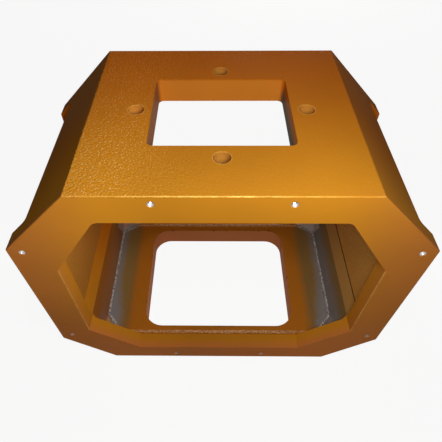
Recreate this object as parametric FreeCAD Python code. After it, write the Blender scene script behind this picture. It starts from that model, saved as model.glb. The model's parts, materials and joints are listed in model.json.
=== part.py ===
import FreeCAD, Part
import math
import os

from FreeCAD import Vector

# Gearbox housing: one thick-walled block of eight-sided section, open at both ends, with a
# rectangular inspection window in the roof and a drain window in the floor.
# Millimetres, +Z up, front end at -Y, origin at the middle of the base.

# Outer block
overall_width = 276.0
overall_height = 222.0
overall_depth = 160.0
upper_bevel = 50.0
lower_bevel = 40.0
edge_radius = 0.8

# Side reliefs, milled between the two end flanges
flange_thickness = 14.0
relief_depth = 13.0
relief_root_radius = 3.0

# Walls round the cored chamber
floor_thickness = 20.0
roof_thickness = 18.0
bevel_wall = 20.0
side_wall = 8.0
end_wall = 13.0
chamber_corner_radius = 6.0
chamber_roof_radius = 8.0

# Foot of each chamber side, from the floor up
cove_rise = 7.0
skirt_lean = 7.0
skirt_height = 27.0
shoulder_run = 5.0
shoulder_rise = 14.4

# Three-sided gussets in the low corners of the chamber
gusset_reach = 17.0
gusset_rise = 14.0

# Eight-sided end windows
window_sill = 21.0
window_lintel = 22.5
window_jamb = 27.0
window_lower_run = 39.0
window_lower_rise = 35.0
window_upper_run = 35.0
window_upper_rise = 50.5
window_head_radius = 6.0

# Roof window and the holes beside it
roof_window_width = 93.0
roof_window_depth = 74.5
roof_window_radius = 4.0
roof_hole_diameter = 11.0
roof_hole_margin_x = 10.5
roof_hole_margin_y = 11.0

# Floor window
floor_window_width = 142.0
floor_window_depth = 116.0
floor_window_radius = 17.0

# Cover screw holes in both ends, drilled for an M5 thread
cover_hole_diameter = 4.2
cover_hole_mouth = 5.0
cover_hole_depth = 10.0
drill_point_angle = 118.0
inner_screw_x = 40.0
inner_screw_edge = 6.5
outer_screw_edge = 10.0
outer_screw_low = 47.0
outer_screw_high = 169.5

half_width = overall_width / 2
half_depth = overall_depth / 2
half_base = half_width - lower_bevel
half_roof = half_width - upper_bevel
ridge_height = overall_height - upper_bevel
relief_face = half_width - relief_depth
chamber_side = relief_face - side_wall
chamber_roof = overall_height - roof_thickness
chamber_end = half_depth - end_wall
floor_edge = half_base - floor_thickness * math.tan(math.radians(22.5))
shoulder_x = chamber_side - shoulder_run
skirt_x = shoulder_x - skirt_lean
skirt_foot = floor_thickness + cove_rise
skirt_top = skirt_foot + skirt_height
clearance = 5.0


def mirrored(right_side):
    """Closes an outline given for +X, bottom to top, with its mirror image."""
    left_side = [(-x, z) for x, z in reversed(right_side)]
    return right_side + left_side


def prism(outline, front, back):
    """Runs an XZ outline along Y from front to back."""
    corners = [Vector(x, front, z) for x, z in outline]
    face = Part.Face(Part.makePolygon(corners + corners[:1]))
    return face.extrude(Vector(0, back - front, 0))


def edges_along_depth(solid, places):
    """The straight edges parallel to Y that pass through the given XZ places."""
    found = []
    for edge in solid.Edges:
        first = edge.Vertexes[0].Point
        last = edge.Vertexes[-1].Point
        level = abs(first.x - last.x) < 0.01 and abs(first.z - last.z) < 0.01
        if level and any(math.hypot(first.x - x, first.z - z) < 0.01 for x, z in places):
            found.append(edge)
    return found


def rounded_slab(width, depth, radius, bottom, top):
    """An upright slab centred on the Z axis with rounded corners."""
    slab = Part.makeBox(width, depth, top - bottom, Vector(-width / 2, -depth / 2, bottom))
    corners = [edge for edge in slab.Edges if abs(edge.tangentAt(edge.FirstParameter).z) > 0.99]
    return slab.makeFillet(radius, corners)


def block():
    outline = mirrored([(half_base, 0), (half_width, lower_bevel),
                        (half_width, ridge_height), (half_roof, overall_height)])
    solid = prism(outline, -half_depth, half_depth)
    return solid.makeFillet(edge_radius, solid.Edges)


def side_reliefs():
    length = overall_depth - 2 * flange_thickness
    cutter = Part.makeBox(relief_depth + clearance, length, overall_height + 2 * clearance,
                          Vector(relief_face, -length / 2, -clearance))
    roots = [edge for edge in cutter.Edges
             if abs(edge.tangentAt(edge.FirstParameter).z) > 0.99
             and abs(edge.CenterOfMass.x - relief_face) < 0.01]
    right = cutter.makeFillet(relief_root_radius, roots)
    left = right.mirror(Vector(0, 0, 0), Vector(1, 0, 0))
    return [right, left]


def gussets():
    """Wedges that leave the four low corners of the chamber solid under a slanted face."""
    corner = Vector(skirt_x, chamber_end, skirt_foot)
    on_seam = corner - Vector(0, gusset_reach, 0)
    on_floor = Vector(floor_edge, chamber_end, floor_thickness)
    on_skirt = corner + Vector(gusset_rise * skirt_lean / skirt_height, 0, gusset_rise)
    middle = (on_seam + on_floor + on_skirt) / 3
    spread = [middle + (tip - middle) * 3 for tip in (on_seam, on_floor, on_skirt)]
    face = Part.Face(Part.makePolygon(spread + spread[:1]))
    back_right = face.extrude((corner - middle) * 3)
    back_left = back_right.mirror(Vector(0, 0, 0), Vector(1, 0, 0))
    back = [back_right, back_left]
    return back + [wedge.mirror(Vector(0, 0, 0), Vector(0, 1, 0)) for wedge in back]


def chamber():
    bevel_reach = half_width + ridge_height - bevel_wall * math.sqrt(2)
    spring = (chamber_side, bevel_reach - chamber_side)
    crown = (bevel_reach - chamber_roof, chamber_roof)
    right_side = [(floor_edge, floor_thickness), (skirt_x, skirt_foot), (shoulder_x, skirt_top),
                  (chamber_side, skirt_top + shoulder_rise), spring, crown]
    solid = prism(mirrored(right_side), -chamber_end, chamber_end)
    upper = [(side * x, z) for x, z in (spring, crown) for side in (1, -1)]
    solid = solid.makeFillet(chamber_roof_radius, edges_along_depth(solid, upper))
    rims = [edge for edge in solid.Edges if abs(abs(edge.CenterOfMass.y) - chamber_end) < 0.01]
    solid = solid.makeFillet(chamber_corner_radius, rims)
    for wedge in gussets():
        solid = solid.cut(wedge)
    return solid


def end_windows():
    half_window = half_width - window_jamb
    half_sill = half_window - window_lower_run
    half_head = half_window - window_upper_run
    head = overall_height - window_lintel
    outline = mirrored([(half_sill, window_sill), (half_window, window_sill + window_lower_rise),
                        (half_window, head - window_upper_rise), (half_head, head)])
    solid = prism(outline, -half_depth - clearance, half_depth + clearance)
    head_corners = edges_along_depth(solid, [(half_head, head), (-half_head, head)])
    return solid.makeFillet(window_head_radius, head_corners)


def roof_window():
    return rounded_slab(roof_window_width, roof_window_depth, roof_window_radius,
                        chamber_roof - clearance, overall_height + clearance)


def floor_window():
    return rounded_slab(floor_window_width, floor_window_depth, floor_window_radius,
                        -clearance, floor_thickness + clearance)


def roof_holes():
    reach_x = roof_window_width / 2 + roof_hole_margin_x
    reach_y = roof_window_depth / 2 + roof_hole_margin_y
    places = [(reach_x, 0), (0, reach_y), (-reach_x, 0), (0, -reach_y)]
    height = roof_thickness + 2 * clearance
    return [Part.makeCylinder(roof_hole_diameter / 2, height, Vector(x, y, chamber_roof - clearance))
            for x, y in places]


def cover_hole():
    """One drilled hole along +Y from the origin, with its chamfered mouth and drill point."""
    radius = cover_hole_diameter / 2
    mouth = cover_hole_mouth / 2
    point = radius / math.tan(math.radians(drill_point_angle / 2))
    profile = [Vector(0, -clearance, 0), Vector(mouth, -clearance, 0), Vector(mouth, 0, 0),
               Vector(radius, mouth - radius, 0), Vector(radius, cover_hole_depth, 0),
               Vector(0, cover_hole_depth + point, 0)]
    face = Part.Face(Part.makePolygon(profile + profile[:1]))
    return face.revolve(Vector(0, 0, 0), Vector(0, 1, 0), 360)


def cover_holes():
    outer_screw_x = half_width - outer_screw_edge
    right_places = [(inner_screw_x, inner_screw_edge), (outer_screw_x, outer_screw_low),
                    (outer_screw_x, outer_screw_high),
                    (inner_screw_x, overall_height - inner_screw_edge)]
    drill = cover_hole()
    holes = []
    for x, z in mirrored(right_places):
        front = drill.copy()
        front.translate(Vector(x, -half_depth, z))
        back = front.mirror(Vector(0, 0, 0), Vector(0, 1, 0))
        holes += [front, back]
    return holes


def housing():
    solid = block()
    for cutter in [*side_reliefs(), chamber(), end_windows(), roof_window(), floor_window(),
                   *roof_holes(), *cover_holes()]:
        solid = solid.cut(cutter)
    return solid.Solids[0]


os.makedirs("parts", exist_ok=True)
body = housing()
body.exportStep("parts/housing.step")
box = body.BoundBox
print("housing", round(box.XLength, 2), round(box.YLength, 2), round(box.ZLength, 2),
      "volume cm3", round(body.Volume / 1000, 1), "faces", len(body.Faces), "valid", body.isValid())
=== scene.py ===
import json
import math

import bpy
from mathutils import Matrix, Vector


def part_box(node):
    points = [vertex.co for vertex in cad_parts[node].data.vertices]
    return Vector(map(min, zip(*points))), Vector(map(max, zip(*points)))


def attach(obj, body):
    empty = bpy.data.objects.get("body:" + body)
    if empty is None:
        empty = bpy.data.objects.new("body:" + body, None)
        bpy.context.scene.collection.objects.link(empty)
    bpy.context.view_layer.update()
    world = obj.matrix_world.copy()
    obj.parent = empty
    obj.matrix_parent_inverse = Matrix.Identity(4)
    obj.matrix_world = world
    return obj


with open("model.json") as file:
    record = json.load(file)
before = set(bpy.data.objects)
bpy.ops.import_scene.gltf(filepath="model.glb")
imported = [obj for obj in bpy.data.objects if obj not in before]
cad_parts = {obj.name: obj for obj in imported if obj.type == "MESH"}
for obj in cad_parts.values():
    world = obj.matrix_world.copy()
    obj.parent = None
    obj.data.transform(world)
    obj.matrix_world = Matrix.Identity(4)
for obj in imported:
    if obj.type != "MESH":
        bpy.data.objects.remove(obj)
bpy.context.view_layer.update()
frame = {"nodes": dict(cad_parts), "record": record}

scene = bpy.context.scene
housing = frame["nodes"]["housing"]
lowCorner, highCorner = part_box("housing")
mounts = {mount["name"]: mount for mount in frame["record"]["mounts"]}


# short ways to add and join nodes

def newMaterial(name):
    material = bpy.data.materials.new(name)
    material.use_nodes = True
    material.node_tree.nodes.clear()
    return material


def addNode(tree, kind, **settings):
    node = tree.nodes.new(kind)
    for key, value in settings.items():
        setattr(node, key, value)
    return node


def plug(tree, target, source):  # a socket is linked, anything else becomes the value
    if isinstance(source, bpy.types.NodeSocket):
        tree.links.new(source, target)
    else:
        target.default_value = source


def combine(tree, operation, first, second=0.0):
    node = addNode(tree, "ShaderNodeMath", operation=operation)
    plug(tree, node.inputs[0], first)
    plug(tree, node.inputs[1], second)
    return node.outputs[0]


def times(tree, *factors):
    result = factors[0]
    for factor in factors[1:]:
        result = combine(tree, "MULTIPLY", result, factor)
    return result


def slope(tree, value, low, high, start=0.0, end=1.0):  # smooth step from start to end
    node = addNode(tree, "ShaderNodeMapRange", interpolation_type="SMOOTHSTEP")
    settings = (value, low, high, start, end)
    for name, setting in zip(("Value", "From Min", "From Max", "To Min", "To Max"), settings):
        plug(tree, node.inputs[name], setting)
    return node.outputs[0]


def falls(tree, value, low, high):  # 1 below the band, 0 above it
    return slope(tree, value, low, high, 1.0, 0.0)


def strip(tree, value, low, high, soft=0.0005):  # 1 between low and high, 0 outside
    rise = slope(tree, value, low - soft, low + soft)
    fall = falls(tree, value, high - soft, high + soft)
    return times(tree, rise, fall)


def blendColour(tree, factor, under, over):
    node = addNode(tree, "ShaderNodeMix", data_type="RGBA")
    plug(tree, node.inputs[0], factor)
    for target, source in ((node.inputs[6], under), (node.inputs[7], over)):
        plug(tree, target, source if isinstance(source, bpy.types.NodeSocket) else (*source, 1.0))
    return node.outputs[2]


def speckle(tree, where, scale, detail=2.0, roughness=0.5):
    node = addNode(tree, "ShaderNodeTexNoise")
    tree.links.new(where, node.inputs["Vector"])
    for name, value in {"Scale": scale, "Detail": detail, "Roughness": roughness}.items():
        plug(tree, node.inputs[name], value)
    return node.outputs["Fac"]


def halfSpacing(name, axis):  # of a mount's holes, in metres
    return mounts[name]["dims"]["spacing_" + axis + "_mm"] / 2000


def splitPlace(tree):  # the place on the piece, and its x, y and z
    where = addNode(tree, "ShaderNodeTexCoord").outputs["Object"]
    axes = addNode(tree, "ShaderNodeSeparateXYZ")
    tree.links.new(where, axes.inputs[0])
    return where, axes.outputs


def finishMaterial(tree, shader):
    output = addNode(tree, "ShaderNodeOutputMaterial")
    tree.links.new(shader.outputs[0], output.inputs["Surface"])


cameraSettings = {
    "place": (-0.0049, -0.2308, 0.3813),
    "turn": 0.996,
    "tilt": 40.223,
    "roll": -0.643,
    "lens": 33.03,
    "sensor": 36.0,
    "shift": (0.0267, -0.0034),
    "nearest": 0.01,
}


def placeCamera(settings):
    data = bpy.data.cameras.new("camera")
    data.sensor_width = settings["sensor"]
    data.lens = settings["lens"]
    data.shift_x, data.shift_y = settings["shift"]
    data.clip_start = settings["nearest"]
    camera = bpy.data.objects.new("camera", data)
    scene.collection.objects.link(camera)
    turned = (Matrix.Rotation(math.radians(settings["turn"]), 4, "Z")
              @ Matrix.Rotation(math.radians(settings["tilt"]), 4, "X")
              @ Matrix.Rotation(math.radians(settings["roll"]), 4, "Z"))
    camera.matrix_world = Matrix.Translation(settings["place"]) @ turned
    scene.camera = camera


placeCamera(cameraSettings)
scene.view_settings.view_transform = "Standard"
print("camera placed")


floorSettings = {
    "size": 6.0,
    "drop": 0.0003,
    "colour": (0.80, 0.79, 0.78),
    "roughness": 0.9,
    "white": 0.92,  # how much of the floor that the camera sees is plain white
}


def whiteToTheEye(tree):  # 1 for the rays that should see plain white
    rays = addNode(tree, "ShaderNodeLightPath")
    seen = combine(tree, "MAXIMUM", rays.outputs["Is Camera Ray"], rays.outputs["Is Transmission Ray"])
    return combine(tree, "MAXIMUM", seen, rays.outputs["Is Glossy Ray"])


def layFloor(settings):
    bpy.ops.object.select_all(action="DESELECT")
    bpy.ops.mesh.primitive_plane_add(size=settings["size"], location=(0, 0, -settings["drop"]))
    bpy.ops.object.transform_apply(location=True, rotation=True, scale=True)
    floor = bpy.context.object
    floor.name = "floor"
    material = newMaterial("paleFloor")
    tree = material.node_tree
    chalk = addNode(tree, "ShaderNodeBsdfPrincipled")
    chalk.inputs["Base Color"].default_value = (*settings["colour"], 1)
    chalk.inputs["Roughness"].default_value = settings["roughness"]
    glow = addNode(tree, "ShaderNodeEmission")
    blend = addNode(tree, "ShaderNodeMixShader")
    tree.links.new(times(tree, whiteToTheEye(tree), settings["white"]), blend.inputs[0])
    tree.links.new(chalk.outputs[0], blend.inputs[1])
    tree.links.new(glow.outputs[0], blend.inputs[2])
    finishMaterial(tree, blend)
    floor.data.materials.append(material)


worldSettings = {
    "colour": (1.0, 0.96, 0.92),
    "strength": 0.03,
}


def lightWorld(settings):
    world = bpy.data.worlds.new("studio")
    scene.world = world
    world.use_nodes = True
    tree = world.node_tree
    tree.nodes.clear()
    soft = addNode(tree, "ShaderNodeBackground")
    soft.inputs["Color"].default_value = (*settings["colour"], 1)
    soft.inputs["Strength"].default_value = settings["strength"]
    white = addNode(tree, "ShaderNodeBackground")
    white.inputs["Color"].default_value = (1, 1, 1, 1)
    blend = addNode(tree, "ShaderNodeMixShader")
    tree.links.new(whiteToTheEye(tree), blend.inputs[0])
    tree.links.new(soft.outputs[0], blend.inputs[1])
    tree.links.new(white.outputs[0], blend.inputs[2])
    output = addNode(tree, "ShaderNodeOutputWorld")
    tree.links.new(blend.outputs[0], output.inputs["Surface"])


lamps = {
    "keyLamp": {"place": (0.03, -0.20, 0.34), "aim": (0, -0.06, 0.18), "size": 0.10,
                "watts": 0.49, "colour": (1.0, 0.98, 0.95)},
    "topLamp": {"place": (0.02, 0.02, 0.42), "aim": (0, 0.02, 0.2), "size": 0.12,
                "watts": 0.07, "colour": (1.0, 0.94, 0.86)},
    "backLamp": {"place": (0.2, 1.1, 0.22), "aim": (0, 0, 0.1), "size": 0.4,
                 "watts": 3.0, "colour": (1.0, 0.97, 0.93)},
    "leftLamp": {"place": (-0.29, 0.02, 0.01), "aim": (-0.13, 0, 0.10), "size": 0.08,
                 "watts": 0.07, "colour": (1.0, 0.97, 0.93)},
    "rightLamp": {"place": (0.29, 0.02, 0.01), "aim": (0.13, 0, 0.10), "size": 0.08,
                  "watts": 0.08, "colour": (1.0, 0.97, 0.93)},
}


def hangLamps(settings):
    for name, lamp in settings.items():
        data = bpy.data.lights.new(name, "AREA")
        data.shape = "DISK"
        data.size = lamp["size"]
        data.energy = lamp["watts"]
        data.color = lamp["colour"]
        hung = bpy.data.objects.new(name, data)
        scene.collection.objects.link(hung)
        hung.location = lamp["place"]
        aim = Vector(lamp["aim"]) - Vector(lamp["place"])
        hung.rotation_euler = aim.to_track_quat("-Z", "Y").to_euler()


layFloor(floorSettings)
lightWorld(worldSettings)
hangLamps(lamps)
print("floor, world and lamps ready")


# the pebbled skin of sprayed enamel, and painted glints on it
# speckles are given by scale, detail and roughness
peel = {
    "pebbles": (760, 1.0),
    "pebbleBand": (0.30, 0.70),
    "grit": (1300, 2.0, 0.6),
    "glintSpots": (860, 1.0),
    "glintBand": (0.58, 0.67),
}


def makePeelGroup(settings):
    group = bpy.data.node_groups.new("orangePeel", "ShaderNodeTree")
    face = group.interface
    face.new_socket("Vector", in_out="INPUT", socket_type="NodeSocketVector")
    for name in ("Pebbles", "Grit"):
        face.new_socket(name, in_out="INPUT", socket_type="NodeSocketFloat")
    for name in ("Height", "Glint"):
        face.new_socket(name, in_out="OUTPUT", socket_type="NodeSocketFloat")
    entry = addNode(group, "NodeGroupInput")
    leave = addNode(group, "NodeGroupOutput")
    where = entry.outputs["Vector"]
    pebbles = slope(group, speckle(group, where, *settings["pebbles"]), *settings["pebbleBand"])
    grit = speckle(group, where, *settings["grit"])
    height = combine(group, "ADD", times(group, pebbles, entry.outputs["Pebbles"]),
                     times(group, grit, entry.outputs["Grit"]))
    group.links.new(height, leave.inputs["Height"])
    # painted glints: light flecks in place of lamp sparkles on the peel
    glintSpots = slope(group, speckle(group, where, *settings["glintSpots"]), *settings["glintBand"])
    group.links.new(glintSpots, leave.inputs["Glint"])
    return group


peelGroup = makePeelGroup(peel)
frontFace = lowCorner.y
backFace = highCorner.y
roofFace = highCorner.z

paint = {
    "orange": (0.62, 0.250, 0.0160),
    # painted shade: the paint turns redder and darker towards the back
    "farShadeOrange": (0.60, 0.145, 0.0040),
    # painted shade with a painted bounce of pale light, low down and at the sides of the front face
    "frontBounceShade": (0.63, 0.208, 0.0440),
    # painted glints on the roof
    "glintFleck": (0.95, 0.560, 0.1700),
    # painted highlight on edges and hole rims, with some edge wear on the jambs
    "edgeHighlightAndWear": (0.98, 0.620, 0.1400),
    "holeOrange": (0.60, 0.250, 0.0400),
    # painted light deep in the roof holes
    "holeDeepLight": (0.92, 0.480, 0.0900),
    # painted light on the far wall of the roof window
    "farWallLit": (0.68, 0.225, 0.0240),
    # painted shade on the bevels, darker on the left, fading out towards the front
    "leftBevelShade": (0.34, 0.112, 0.0080),
    "rightBevelShade": (0.46, 0.140, 0.0160),
    # painted shade on the left wall and a painted shadow low on the right wall of the roof window
    "leftWallShade": (0.34, 0.130, 0.0400),
    "rightWallShadow": (0.13, 0.125, 0.0900),
    "dullBrown": (0.60, 0.225, 0.0860),
    # painted shade on the chamber floor
    "floorShadeOrange": (0.48, 0.165, 0.0140),
    "seamGrey": (0.24, 0.258, 0.2850),
    "cornerGreyHighlight": (0.56, 0.530, 0.5100),
    "coveOlive": (0.25, 0.158, 0.0500),
    # painted shade on the left skirt and left side wall
    "skirtShadeBrown": (0.32, 0.115, 0.0200),
    "skirtOlive": (0.23, 0.160, 0.0640),
    "shoulderTan": (0.47, 0.275, 0.0860),
    "sandBrown": (0.72, 0.385, 0.0920),
    # dark brown of the chips and of the painted shadow line
    "chipAndShadowBrown": (0.05, 0.022, 0.0080),
    "holeSteel": (0.46, 0.440, 0.4200),
    "gloss": 0.02,
    "bevelGloss": 0.002,  # seen almost edge-on, where sheen would wash the colour out
    "bump": 0.00026,

    # speckles: scale, detail and roughness
    "cloud": (14, 3.0, 0.55),
    "ragged": (160, 3.0, 0.6),
    "fine": (1100, 3.0, 0.7),
    "streaks": (700, 2.0, 0.6),

    # where a mark starts and stops, in metres. A third number softens both ends of a strip,
    # and a third and fourth are the strengths at the start and at the stop.
    "middle": (-0.004, 0.004),
    "frontToBack": (frontFace - 0.005, backFace),
    "frontSkin": (frontFace, frontFace + 0.010),
    "frontLow": (0.02, 0.19),
    "frontSides": (0.06, 0.14, 0.0, 0.8),
    "bevelPlane": (0.3091, 0.3096),  # width and height added up
    "bevelEnds": (backFace - 0.0010, backFace - 0.0004),
    "bevelShadeFade": (-0.10, 0.04),
    "inRoof": (0.2030, roofFace - 0.0008, 0.0003),
    "onRoof": (roofFace - 0.0015, roofFace - 0.0005),
    "windowSide": (0.0455, 0.0475),
    "windowSideEnds": (0.0375, 0.0380),
    "windowFar": (0.0366, 0.0385),
    "windowFarEnds": (0.0465, 0.0470),
    "rightShadowRise": (0.207, 0.220),
    "roofHoleRise": (0.208, 0.2195),
    "roofHoleSkin": (roofFace - 0.0008, roofFace - 0.0004),
    "floorDepth": (0.0194, 0.0197),
    "floorSide": (0.0712, 0.0715),
    "floorEnd": (0.0583, 0.0586),
    "chamberEnd": (0.0668, 0.0674),
    "chamberSide": (0.1185, 0.1195),
    "chamberTop": (0.2035, 0.2038),
    "chamberFloor": (0.0195, 0.0198),
    "chamberShell": (0.294, 0.298),  # width and height added up
    "coveTop": (0.0278, 0.0290),
    "coveReach": (0.0810, 0.0920),
    "wallSide": (0.1163, 0.1168),
    "wallFoot": (0.0680, 0.0686),
    "shoulderSide": (0.1118, 0.1170, 0.0002),
    "shoulderRise": (0.0540, 0.0682, 0.0003),
    "skirtSide": (0.1048, 0.1121, 0.0002),
    "skirtRise": (0.0268, 0.0542, 0.0003),
    "skirtWorn": (0.033, 0.050),
    "seamLine": (0.1062, 0.1066),
    "seamWorn": (0.0955, 0.1060),
    "seamFront": (-0.055, 0.0),
    "facetStart": (-0.053, -0.050),
    "facetSide": (0.090, 0.096),
    "facetTop": (0.040, 0.042),
    "cornerStart": (0.0, 0.02),
    "cornerReach": (0.1525, 0.1560),  # width and depth added up
    "cornerTop": (0.0405, 0.0425),
    "chipEnd": (0.0577, 0.0588),
    "chipEndCorner": (0.060, 0.062),
    "chipSide": (0.0707, 0.0718),
    "chipSideCorner": (0.044, 0.046),
    "chipRise": (0.0186, 0.0203),
    "shadowLineRise": (0.0675, 0.0690, 0.0002),
    "shadowLineSide": (0.1160, 0.1166),
    # painted light on the left and painted shade in the middle of the front
    "leftLightSide": (-0.105, 0.0),
    "leftLightRise": (0.05, 0.15),
    "middleShadeFront": (-0.075, 0.01),
    "middleShadeSpread": (0.0, 0.10),
    "peelSide": (-0.085, 0.02, 1.0, 0.22),
    "peelBack": (0.02, 0.08, 0.0, 0.6),
    "glintSide": (-0.080, -0.01, 1.0, 0.06),
    "glintBack": (-0.07, 0.06, 1.0, 0.55),
    "edgeRise": (roofFace - 0.0008, roofFace - 0.0003),
    "edgeFront": (frontFace + 0.0003, frontFace + 0.0009),
    "edgeMiddle": (0.0, 0.08, 1.0, 0.25),
    "jambSide": (0.1107, 0.1116, 0.0002),
    "jambFront": (frontFace + 0.0006, frontFace + 0.0012),
    "jambRise": (0.056, 0.149),
    "coverHoleEnd": (backFace - 0.012, backFace - 0.011),
    "coverHoleRise": (0.03, 0.2, 0.1, 1.0),

    # how far a mark reaches from a hole's axis or strays from its line, in metres
    "roofHole": 0.0057,
    "roofHoleRim": 0.0060,
    "coverHole": 0.00222,
    "holeSoft": 0.0001,
    "wander": 0.004,
    "widerInFront": 0.006,

    # the same for the speckles, whose own values run from 0 to 1
    "roughness": (0.2, 0.8, 0.50, 0.61),
    "coatClouds": (0.25, 0.75, 0.95, 1.04),
    "glintClouds": (0.30, 0.62, 0.45, 1.0),
    "grain": (0.35, 0.65, 0.55, 1.0),
    "streakSpots": (0.3, 0.7, 0.65, 1.0),
    "chipSpots": (0.60, 0.64),
    "edgeSpots": (0.35, 0.65, 0.4, 1.0),
    "jambSpots": (0.35, 0.65, 0.2, 0.6),

    # strengths, as one share or as the left half's and the right half's
    "sandHalves": (0.4, 1.0),
    "wallShadeHalves": (0.3, 0.0),
    "wornHalves": (0.2, 1.0),
    "facetHalves": (0.3, 1.0),
    "cornerHalves": (0.45, 0.9),
    "roofRimShare": 0.35,
    "skirtShare": 0.95,
    "coveShare": 0.92,
    "chipShare": 0.85,
    "shadowLineShare": 0.9,
    "cornerWander": 0.4,
    "leftLightGain": 1.26,
    "middleShadeGain": 0.84,
    "wallPebbles": 1.6,
    "baseGrit": 0.12,
    "chamberGrit": 0.5,
}


def roofHolePlaces():
    holeX = halfSpacing("roof_holes_across", "x")
    holeY = halfSpacing("roof_holes_along", "y")
    return [(holeX, 0), (-holeX, 0), (0, holeY), (0, -holeY)]


def coverHolePlaces():  # the right half's, which stand for both halves
    places = []
    for name in ("front_cover_inner_screws", "front_cover_outer_screws"):
        for side in (-1, 1):
            holeZ = mounts[name]["pos_m"][2] + side * halfSpacing(name, "y")
            places.append((halfSpacing(name, "x"), holeZ))
    return places


def nearHoles(tree, across, along, places, reach, soft):  # 1 within reach of a hole's axis
    nearest = None
    for placeAcross, placeAlong in places:
        offAcross = combine(tree, "SUBTRACT", across, placeAcross)
        offAlong = combine(tree, "SUBTRACT", along, placeAlong)
        spread = combine(tree, "ADD", times(tree, offAcross, offAcross), times(tree, offAlong, offAlong))
        nearest = spread if nearest is None else combine(tree, "MINIMUM", nearest, spread)
    return falls(tree, nearest, (reach - soft) ** 2, (reach + soft) ** 2)


def readPlaces(tree, settings):  # the places and speckles that all marks are worked out from
    where, axes = splitPlace(tree)
    x, y, z = axes
    at = {"where": where, "x": x, "y": y, "z": z}
    at["farX"] = combine(tree, "ABSOLUTE", x)
    at["farY"] = combine(tree, "ABSOLUTE", y)
    at["reachOut"] = combine(tree, "ADD", z, at["farX"])
    at["right"] = slope(tree, x, *settings["middle"])
    for name in ("cloud", "ragged", "fine", "streaks"):
        at[name] = speckle(tree, where, *settings[name])
    at["wander"] = times(tree, combine(tree, "SUBTRACT", at["ragged"], 0.5), settings["wander"])
    return at


def halves(tree, at, left, right):  # one strength on the left half, another on the right
    return slope(tree, at["right"], 0, 1, left, right)


def markRegions(tree, at, settings):  # 1 on the named part of the housing, 0 elsewhere
    farX, farY, z = at["farX"], at["farY"], at["z"]
    bevel = times(tree, slope(tree, at["reachOut"], *settings["bevelPlane"]),
                  falls(tree, farY, *settings["bevelEnds"]))
    inside = times(tree, falls(tree, farY, *settings["chamberEnd"]),
                   falls(tree, farX, *settings["chamberSide"]),
                   falls(tree, z, *settings["chamberTop"]),
                   slope(tree, z, *settings["chamberFloor"]),
                   falls(tree, at["reachOut"], *settings["chamberShell"]))
    return {
        "bevel": bevel,
        "inRoof": strip(tree, z, *settings["inRoof"]),
        "onRoof": slope(tree, z, *settings["onRoof"]),
        "inside": inside,
        "lowInside": times(tree, inside, falls(tree, z, *settings["coveTop"])),
        "wall": times(tree, inside, slope(tree, farX, *settings["wallSide"]),
                      slope(tree, z, *settings["wallFoot"])),
        "shoulder": times(tree, inside, strip(tree, farX, *settings["shoulderSide"]),
                          strip(tree, z, *settings["shoulderRise"])),
        "skirt": times(tree, inside, strip(tree, farX, *settings["skirtSide"]),
                       strip(tree, z, *settings["skirtRise"])),
    }


def coatOutside(tree, at, region, settings):  # yellower at the front end and redder at the back as painted shade, a painted bounce of pale light with shade low down and at the sides of the front, and painted shade on the bevels
    colour = blendColour(tree, slope(tree, at["y"], *settings["frontToBack"]),
                         settings["orange"], settings["farShadeOrange"])
    low = combine(tree, "MAXIMUM", falls(tree, at["z"], *settings["frontLow"]),
                  slope(tree, at["farX"], *settings["frontSides"]))
    low = times(tree, low, falls(tree, at["y"], *settings["frontSkin"]))
    colour = blendColour(tree, low, colour, settings["frontBounceShade"])
    # painted shade on the bevels
    bevelShadeColour = blendColour(tree, at["right"], settings["leftBevelShade"], settings["rightBevelShade"])
    bevel = times(tree, region["bevel"], slope(tree, at["y"], *settings["bevelShadeFade"]))
    return blendColour(tree, bevel, colour, bevelShadeColour)


def coatRoofWindow(tree, at, region, colour, settings):  # painted shade on its left wall, a painted shadow low on its right wall and painted light on its far wall
    low, high = settings["windowSide"]
    ends = falls(tree, at["farY"], *settings["windowSideEnds"])
    left = times(tree, region["inRoof"], strip(tree, at["x"], -high, -low), ends)
    colour = blendColour(tree, left, colour, settings["leftWallShade"])
    right = times(tree, region["inRoof"], strip(tree, at["x"], low, high), ends,
                  falls(tree, at["z"], *settings["rightShadowRise"]))
    colour = blendColour(tree, right, colour, settings["rightWallShadow"])
    far = times(tree, region["inRoof"], strip(tree, at["y"], *settings["windowFar"]),
                falls(tree, at["farX"], *settings["windowFarEnds"]))
    return blendColour(tree, far, colour, settings["farWallLit"])


def coatRoofHoles(tree, at, region, colour, settings):  # painted light, brighter with depth, and a painted highlight on the rim
    places, soft = roofHolePlaces(), settings["holeSoft"]
    holeColour = blendColour(tree, slope(tree, at["z"], *settings["roofHoleRise"]),
                             settings["holeDeepLight"], settings["holeOrange"])
    hole = nearHoles(tree, at["x"], at["y"], places, settings["roofHole"], soft)
    colour = blendColour(tree, times(tree, hole, region["inRoof"]), colour, holeColour)
    rim = times(tree, nearHoles(tree, at["x"], at["y"], places, settings["roofHoleRim"], soft),
                slope(tree, at["z"], *settings["roofHoleSkin"]), settings["roofRimShare"])
    return blendColour(tree, rim, colour, settings["edgeHighlightAndWear"])


def coatFloorWindow(tree, at, colour, settings):
    walls = times(tree, falls(tree, at["z"], *settings["floorDepth"]),
                  falls(tree, at["farX"], *settings["floorSide"]),
                  falls(tree, at["farY"], *settings["floorEnd"]))
    return blendColour(tree, walls, colour, settings["dullBrown"])


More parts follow.
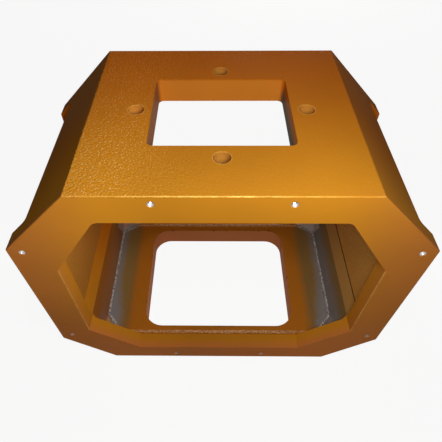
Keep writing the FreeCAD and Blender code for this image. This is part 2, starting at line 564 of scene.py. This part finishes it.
def coatChamber(tree, at, region, colour, settings):  # the floor darkened by painted shade, sand grain on the side walls with painted shade on the left one, tan streaks on the right shoulder, and skirts with painted shade on the left and olive on the right
    colour = blendColour(tree, region["lowInside"], colour, settings["floorShadeOrange"])
    sand = times(tree, region["wall"], halves(tree, at, *settings["sandHalves"]),
                 slope(tree, at["fine"], *settings["grain"]))
    colour = blendColour(tree, sand, colour, settings["sandBrown"])
    wallShade = times(tree, region["wall"], halves(tree, at, *settings["wallShadeHalves"]))
    colour = blendColour(tree, wallShade, colour, settings["skirtShadeBrown"])
    tan = times(tree, region["shoulder"], at["right"],
                slope(tree, at["streaks"], *settings["streakSpots"]))
    colour = blendColour(tree, tan, colour, settings["shoulderTan"])
    skirtColour = blendColour(tree, at["right"], settings["skirtShadeBrown"], settings["skirtOlive"])
    return blendColour(tree, times(tree, region["skirt"], settings["skirtShare"]), colour, skirtColour)


def wearSeams(tree, at, region, colour, settings):  # paint thins beside the seam and in the corners, and the back corners also get a painted highlight
    wander = at["wander"]
    reach = combine(tree, "ADD", at["farX"], wander)
    belowSeam = falls(tree, at["farX"], *settings["seamLine"])
    cove = times(tree, region["lowInside"], slope(tree, reach, *settings["coveReach"]), belowSeam,
                 settings["coveShare"])
    colour = blendColour(tree, cove, colour, settings["coveOlive"])

    above = times(tree, region["skirt"],
                  falls(tree, combine(tree, "ADD", at["z"], wander), *settings["skirtWorn"]),
                  halves(tree, at, *settings["wornHalves"]))
    wider = times(tree, falls(tree, at["y"], *settings["seamFront"]), settings["widerInFront"])
    beside = times(tree, region["lowInside"],
                   slope(tree, combine(tree, "ADD", reach, wider), *settings["seamWorn"]), belowSeam)
    facet = times(tree, region["inside"], falls(tree, at["y"], *settings["facetStart"]),
                  halves(tree, at, *settings["facetHalves"]),
                  slope(tree, at["farX"], *settings["facetSide"]),
                  falls(tree, at["z"], *settings["facetTop"]))
    worn = combine(tree, "MAXIMUM", combine(tree, "MAXIMUM", beside, above), facet)
    worn = times(tree, worn, slope(tree, at["fine"], *settings["grain"]))
    colour = blendColour(tree, worn, colour, settings["seamGrey"])

    # the back corners: thin grey paint with a painted highlight
    toCorner = combine(tree, "ADD", combine(tree, "ADD", at["farX"], at["farY"]),
                       times(tree, wander, settings["cornerWander"]))
    corner = times(tree, region["inside"], slope(tree, at["y"], *settings["cornerStart"]),
                   slope(tree, toCorner, *settings["cornerReach"]),
                   falls(tree, at["z"], *settings["cornerTop"]),
                   halves(tree, at, *settings["cornerHalves"]))
    return blendColour(tree, corner, colour, settings["cornerGreyHighlight"])


def chipsAndShadowLine(tree, at, region, colour, settings):  # chips round the floor window, and a painted shadow line along the right shoulder
    onEnd = times(tree, strip(tree, at["farY"], *settings["chipEnd"]),
                  falls(tree, at["farX"], *settings["chipEndCorner"]))
    onSide = times(tree, strip(tree, at["farX"], *settings["chipSide"]),
                   falls(tree, at["farY"], *settings["chipSideCorner"]))
    chips = times(tree, combine(tree, "MAXIMUM", onEnd, onSide),
                  strip(tree, at["z"], *settings["chipRise"]),
                  slope(tree, at["ragged"], *settings["chipSpots"]), settings["chipShare"])
    colour = blendColour(tree, chips, colour, settings["chipAndShadowBrown"])
    # a painted shadow line under the edge of the right side wall
    crackShadow = times(tree, region["inside"], at["right"], strip(tree, at["z"], *settings["shadowLineRise"]),
                  slope(tree, at["farX"], *settings["shadowLineSide"]), settings["shadowLineShare"])
    return blendColour(tree, crackShadow, colour, settings["chipAndShadowBrown"])


def paintedLightAndShade(tree, at, colour, settings):  # painted light on the left, painted shade in the middle of the front, over random cloudy tone
    leftLight = times(tree, falls(tree, at["x"], *settings["leftLightSide"]),
                   slope(tree, at["z"], *settings["leftLightRise"]))
    middleShade = times(tree, falls(tree, at["y"], *settings["middleShadeFront"]),
                    falls(tree, at["farX"], *settings["middleShadeSpread"]))
    shade = times(tree, slope(tree, at["cloud"], *settings["coatClouds"]),
                  slope(tree, leftLight, 0.0, 1.0, 1.0, settings["leftLightGain"]),
                  slope(tree, middleShade, 0.0, 1.0, 1.0, settings["middleShadeGain"]))
    shaded = addNode(tree, "ShaderNodeVectorMath", operation="SCALE")
    tree.links.new(colour, shaded.inputs[0])
    tree.links.new(shade, shaded.inputs["Scale"])
    return shaded.outputs[0]


def layPeel(tree, at, region, settings):  # roughest at the roof's left and back and on the chamber's walls
    skin = addNode(tree, "ShaderNodeGroup")
    skin.node_tree = peelGroup
    tree.links.new(at["where"], skin.inputs["Vector"])
    rough = combine(tree, "MAXIMUM", slope(tree, at["x"], *settings["peelSide"]),
                    slope(tree, at["y"], *settings["peelBack"]))
    pebbles = combine(tree, "ADD", times(tree, region["onRoof"], rough),
                      times(tree, region["wall"], settings["wallPebbles"]))
    plug(tree, skin.inputs["Pebbles"], pebbles)
    inChamber = times(tree, region["inside"], settings["chamberGrit"])
    plug(tree, skin.inputs["Grit"], combine(tree, "ADD", settings["baseGrit"], inChamber))
    return skin


def brighten(tree, at, region, glintSpots, colour, settings):  # painted glints as flecks on the roof, a painted highlight along the roof's front edge, and light lines on the window jambs that are partly wear and partly painted highlight
    glintFlecks = times(tree, glintSpots, region["onRoof"], slope(tree, at["x"], *settings["glintSide"]),
                   slope(tree, at["cloud"], *settings["glintClouds"]),
                   slope(tree, at["y"], *settings["glintBack"]))
    colour = blendColour(tree, glintFlecks, colour, settings["glintFleck"])
    # painted highlight along the roof's front edge, strongest in the middle
    roofEdgeHighlight = times(tree, slope(tree, at["z"], *settings["edgeRise"]),
                     falls(tree, at["y"], *settings["edgeFront"]),
                     slope(tree, at["farX"], *settings["edgeMiddle"]),
                     slope(tree, at["ragged"], *settings["edgeSpots"]))
    colour = blendColour(tree, roofEdgeHighlight, colour, settings["edgeHighlightAndWear"])
    jambs = times(tree, strip(tree, at["farX"], *settings["jambSide"]),
                  falls(tree, at["y"], *settings["jambFront"]),
                  strip(tree, at["z"], *settings["jambRise"]),
                  slope(tree, at["ragged"], *settings["jambSpots"]))
    return blendColour(tree, jambs, colour, settings["edgeHighlightAndWear"])


def bareCoverHoles(tree, at, settings):  # 1 in the drilled cover holes, fading in the low ones
    hole = nearHoles(tree, at["farX"], at["z"], coverHolePlaces(), settings["coverHole"],
                     settings["holeSoft"])
    return times(tree, hole, slope(tree, at["farY"], *settings["coverHoleEnd"]),
                 slope(tree, at["z"], *settings["coverHoleRise"]))


def paintHousing(settings):
    material = newMaterial("orangePaint")
    tree = material.node_tree
    at = readPlaces(tree, settings)
    region = markRegions(tree, at, settings)
    colour = coatOutside(tree, at, region, settings)
    colour = coatRoofWindow(tree, at, region, colour, settings)
    colour = coatRoofHoles(tree, at, region, colour, settings)
    colour = coatFloorWindow(tree, at, colour, settings)
    colour = coatChamber(tree, at, region, colour, settings)
    colour = wearSeams(tree, at, region, colour, settings)
    colour = chipsAndShadowLine(tree, at, region, colour, settings)
    colour = paintedLightAndShade(tree, at, colour, settings)
    skin = layPeel(tree, at, region, settings)
    colour = brighten(tree, at, region, skin.outputs["Glint"], colour, settings)
    bare = bareCoverHoles(tree, at, settings)
    colour = blendColour(tree, bare, colour, settings["holeSteel"])

    bump = addNode(tree, "ShaderNodeBump")
    bump.inputs["Strength"].default_value = 1.0
    bump.inputs["Distance"].default_value = settings["bump"]
    tree.links.new(skin.outputs["Height"], bump.inputs["Height"])
    gloss = slope(tree, region["bevel"], 0.0, 1.0, settings["gloss"], settings["bevelGloss"])
    shader = addNode(tree, "ShaderNodeBsdfPrincipled")
    tree.links.new(colour, shader.inputs["Base Color"])
    tree.links.new(gloss, shader.inputs["Specular IOR Level"])
    tree.links.new(slope(tree, at["cloud"], *settings["roughness"]), shader.inputs["Roughness"])
    tree.links.new(bare, shader.inputs["Metallic"])
    tree.links.new(bump.outputs["Normal"], shader.inputs["Normal"])
    finishMaterial(tree, shader)
    for place in housing.material_slots:
        place.material = material


paintHousing(paint)
print("housing painted")


# each cover hole's thread: a grooved steel tube that fits inside the drilled hole
threadSleeve = {
    "outer": 0.00206,
    "inner": 0.00172,
    "length": 0.0088,
    "inset": 0.0006,
    "wall": 0.0001,
    "sides": 20,
    "grooves": 11,
    "smoothAngle": 40,
    "steel": (0.60, 0.59, 0.57),
    "lowHoleShade": (0.24, 0.21, 0.17),
    "shadeToBright": (0.04, 0.16),  # heights: painted shade makes the low holes darker
    "roughness": 0.30,
}


def selectWhere(piece, kind, test):  # in edit mode, picks vertices or edges by their place
    bpy.ops.mesh.select_all(action="DESELECT")
    bpy.ops.mesh.select_mode(type=kind)
    bpy.ops.object.mode_set(mode="OBJECT")
    mesh = piece.data
    for part in {"VERT": mesh.vertices, "EDGE": mesh.edges}[kind]:
        part.select = test(part)
    bpy.ops.object.mode_set(mode="EDIT")


def alongAxis(mesh, edge):  # the edges that run along the local Z axis
    first, last = (mesh.vertices[number].co for number in edge.vertices)
    return abs(first.z - last.z) > 10 * (first.xy - last.xy).length


def makeSteel(settings):
    material = newMaterial("threadSteel")
    tree = material.node_tree
    axes = splitPlace(tree)[1]
    # painted shade: the steel darkens towards the low holes
    brightness = slope(tree, axes["Z"], *settings["shadeToBright"])
    shader = addNode(tree, "ShaderNodeBsdfPrincipled")
    tree.links.new(blendColour(tree, brightness, settings["lowHoleShade"], settings["steel"]),
                   shader.inputs["Base Color"])
    shader.inputs["Metallic"].default_value = 1.0
    shader.inputs["Roughness"].default_value = settings["roughness"]
    finishMaterial(tree, shader)
    return material


def turnSleeve(settings, steel):
    length, outer = settings["length"], settings["outer"]
    bpy.ops.object.select_all(action="DESELECT")
    bpy.ops.mesh.primitive_cylinder_add(vertices=settings["sides"], radius=outer, depth=length,
                                        end_fill_type="NOTHING")
    sleeve = bpy.context.object
    sleeve.name = "threadSleeve"
    bpy.ops.object.mode_set(mode="EDIT")
    selectWhere(sleeve, "EDGE", lambda edge: alongAxis(sleeve.data, edge))
    bpy.ops.mesh.subdivide(number_cuts=2 * settings["grooves"] - 1)
    pitch = length / (2 * settings["grooves"])
    selectWhere(sleeve, "VERT", lambda point: round((point.co.z + length / 2) / pitch) % 2 == 1)
    narrow = settings["inner"] / outer
    bpy.ops.transform.resize(value=(narrow, narrow, 1), center_override=(0, 0, 0))
    bpy.ops.object.mode_set(mode="OBJECT")
    wall = sleeve.modifiers.new("wall", "SOLIDIFY")
    wall.thickness = settings["wall"]
    wall.offset = -1.0
    bpy.ops.object.modifier_apply(modifier="wall")
    bpy.ops.object.shade_smooth_by_angle(angle=math.radians(settings["smoothAngle"]))
    sleeve.rotation_euler = (math.radians(90), 0, 0)
    bpy.ops.object.transform_apply(location=True, rotation=True, scale=True)
    sleeve.data.materials.append(steel)
    return sleeve


def sleevePlaces(settings):  # the middle of each sleeve, front end first
    depth = settings["inset"] + settings["length"] / 2
    places = []
    for end, face in (("front", -1), ("back", 1)):
        for row in ("inner", "outer"):
            name = end + "_cover_" + row + "_screws"
            for sideX in (-1, 1):
                for sideZ in (-1, 1):
                    away = Vector((sideX * halfSpacing(name, "x"), -face * depth,
                                   sideZ * halfSpacing(name, "y")))
                    places.append(Vector(mounts[name]["pos_m"]) + away)
    return places


def fitSleeves(settings):
    places = sleevePlaces(settings)
    sleeves = [turnSleeve(settings, makeSteel(settings))]
    while len(sleeves) < len(places):
        sleeve = sleeves[0].copy()
        sleeve.data = sleeves[0].data.copy()
        scene.collection.objects.link(sleeve)
        sleeves.append(sleeve)
    for number, (sleeve, place) in enumerate(zip(sleeves, places)):
        sleeve.name = "threadSleeve" + str(number + 1)
        sleeve.location = place
        bpy.ops.object.select_all(action="DESELECT")
        sleeve.select_set(True)
        bpy.context.view_layer.objects.active = sleeve
        bpy.ops.object.transform_apply(location=True, rotation=True, scale=True)
        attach(sleeve, "root")


fitSleeves(threadSleeve)
print("thread sleeves fitted")


# the lumpy bead left in the chamber's low seams, in metres from the middle of the base
seamBead = {
    "sideX": 0.1050, "sideZ": 0.0272, "sideEnd": 0.050,
    "floorX": 0.0920, "floorZ": 0.0212, "floorEnd": 0.0648,
    "sideRadius": 0.0014, "cornerRadius": 0.0014, "floorRadius": 0.0016,
    "sides": 10, "cutEvery": 0.0009, "mostCuts": 100,
    "lumps": 0.0018, "lumpHeight": 0.0011, "lumpLevel": 0.55,
    "bare": (0.62, 0.590, 0.580), "dark": (0.14, 0.110, 0.095),
    # the painted runs mix a lit and a shadowed copy of the paint by grain: painted highlight and painted
    # shade
    "painted": (0.82, 0.470, 0.190), "shadowed": (0.36, 0.130, 0.022),
    "paintedToBare": (0.086, 0.096),
    "grain": (900, 2.0, 0.6),  # scale, detail and roughness
    "darkToBare": (0.40, 0.60), "shadowedToLit": (0.42, 0.66),
    "roughness": 0.5, "gloss": 0.3,
}


def makeBeadMaterial(settings):
    material = newMaterial("seamBead")
    tree = material.node_tree
    where, axes = splitPlace(tree)
    grain = speckle(tree, where, *settings["grain"])
    side = slope(tree, combine(tree, "ABSOLUTE", axes["X"]), *settings["paintedToBare"])
    bare = blendColour(tree, slope(tree, grain, *settings["darkToBare"]),
                       settings["dark"], settings["bare"])
    # painted highlight and painted shade on the painted runs of the bead
    painted = blendColour(tree, slope(tree, grain, *settings["shadowedToLit"]),
                          settings["shadowed"], settings["painted"])
    shader = addNode(tree, "ShaderNodeBsdfPrincipled")
    tree.links.new(blendColour(tree, side, painted, bare), shader.inputs["Base Color"])
    shader.inputs["Roughness"].default_value = settings["roughness"]
    shader.inputs["Specular IOR Level"].default_value = settings["gloss"]
    finishMaterial(tree, shader)
    return material


def runBead(start, end, radius, lumps, settings):
    run = Vector(end) - Vector(start)
    bpy.ops.object.select_all(action="DESELECT")
    bpy.ops.mesh.primitive_cylinder_add(vertices=settings["sides"], radius=radius, depth=run.length,
                                        end_fill_type="TRIFAN")
    bead = bpy.context.object
    bpy.ops.object.mode_set(mode="EDIT")
    selectWhere(bead, "EDGE", lambda edge: alongAxis(bead.data, edge))
    cuts = min(settings["mostCuts"], int(run.length / settings["cutEvery"]))
    bpy.ops.mesh.subdivide(number_cuts=cuts)
    bpy.ops.object.mode_set(mode="OBJECT")
    bead.rotation_euler = run.to_track_quat("Z", "Y").to_euler()
    bead.location = (Vector(start) + Vector(end)) / 2
    bpy.ops.object.transform_apply(location=True, rotation=True, scale=True)
    swell = bead.modifiers.new("swell", "DISPLACE")
    swell.texture = lumps
    swell.texture_coords = "LOCAL"
    swell.strength = settings["lumpHeight"]
    swell.mid_level = settings["lumpLevel"]
    bpy.ops.object.modifier_apply(modifier="swell")
    bpy.ops.object.shade_smooth()
    return bead


def layBeads(settings):
    lumps = bpy.data.textures.new("beadLumps", "CLOUDS")
    lumps.noise_scale = settings["lumps"]
    sideX, sideZ, sideEnd = settings["sideX"], settings["sideZ"], settings["sideEnd"]
    floorX, floorZ, floorEnd = settings["floorX"], settings["floorZ"], settings["floorEnd"]
    runs = []
    for side in (-1, 1):
        runs.append(((side * sideX, -sideEnd, sideZ), (side * sideX, sideEnd, sideZ),
                     settings["sideRadius"]))
        runs.append(((-floorX, side * floorEnd, floorZ), (floorX, side * floorEnd, floorZ),
                     settings["floorRadius"]))
        for end in (-1, 1):
            runs.append(((side * sideX, end * sideEnd, sideZ), (side * floorX, end * floorEnd, floorZ),
                         settings["cornerRadius"]))
    beads = [runBead(start, end, radius, lumps, settings) for start, end, radius in runs]
    bpy.ops.object.select_all(action="DESELECT")
    for bead in beads:
        bead.select_set(True)
    bpy.context.view_layer.objects.active = beads[0]
    bpy.ops.object.join()
    seam = bpy.context.object
    seam.name = "seamBead"
    seam.data.materials.append(makeBeadMaterial(settings))
    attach(seam, "root")


layBeads(seamBead)
print("seam bead laid")
